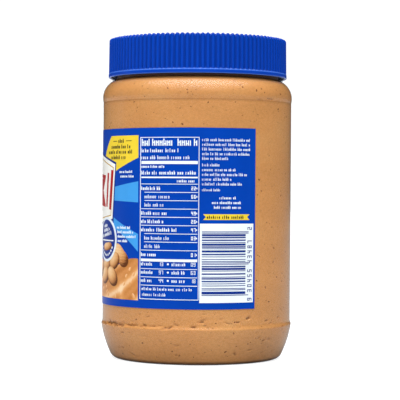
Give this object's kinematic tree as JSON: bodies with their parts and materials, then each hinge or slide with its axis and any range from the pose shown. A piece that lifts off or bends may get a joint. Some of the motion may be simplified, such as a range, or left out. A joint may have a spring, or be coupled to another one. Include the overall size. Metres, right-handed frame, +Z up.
{
  "type": "jar of peanut butter",
  "caption": "Closed round clear jar of smooth peanut butter with a blue ribbed screw cap and a blue wrap label.",
  "frame": {"origin": "middle of the jar's foot, on the surface it stands on", "axes": "+Z up along the jar's axis, -Y towards the middle of the label's back panel"},
  "size_m": [0.098, 0.098, 0.1636],
  "materials": {
    "clear_wall": "gloss",
    "spread": "satin",
    "cap_blue": "satin",
    "label_print": "gloss"
  },
  "bodies": {
    "root": {"jar": "clear_wall", "peanut_butter": "spread", "cap": "cap_blue", "label": "label_print"}
  },
  "joints": []
}
